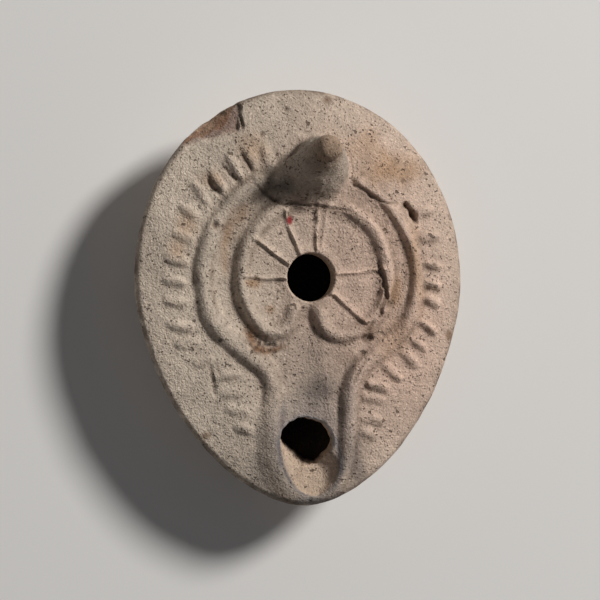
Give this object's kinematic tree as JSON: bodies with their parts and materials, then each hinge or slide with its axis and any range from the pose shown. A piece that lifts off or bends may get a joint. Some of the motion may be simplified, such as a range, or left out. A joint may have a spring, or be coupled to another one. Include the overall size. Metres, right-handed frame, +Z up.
{
  "type": "roman oil lamp",
  "caption": "Mould-made fired-clay oil lamp with a knob handle, rosette discus, rayed shoulder and channelled nozzle with a wick hole.",
  "frame": {"origin": "centre of the plan's bounding box, on the surface that the flat foot stands on", "axes": "+Z up, -Y towards the nozzle, +Y towards the knob handle, +X to the right as seen from above with the nozzle down"},
  "size_m": [0.0738, 0.092, 0.036],
  "materials": {
    "clay": "matte"
  },
  "bodies": {
    "root": {"oil_lamp": "clay"}
  },
  "joints": []
}
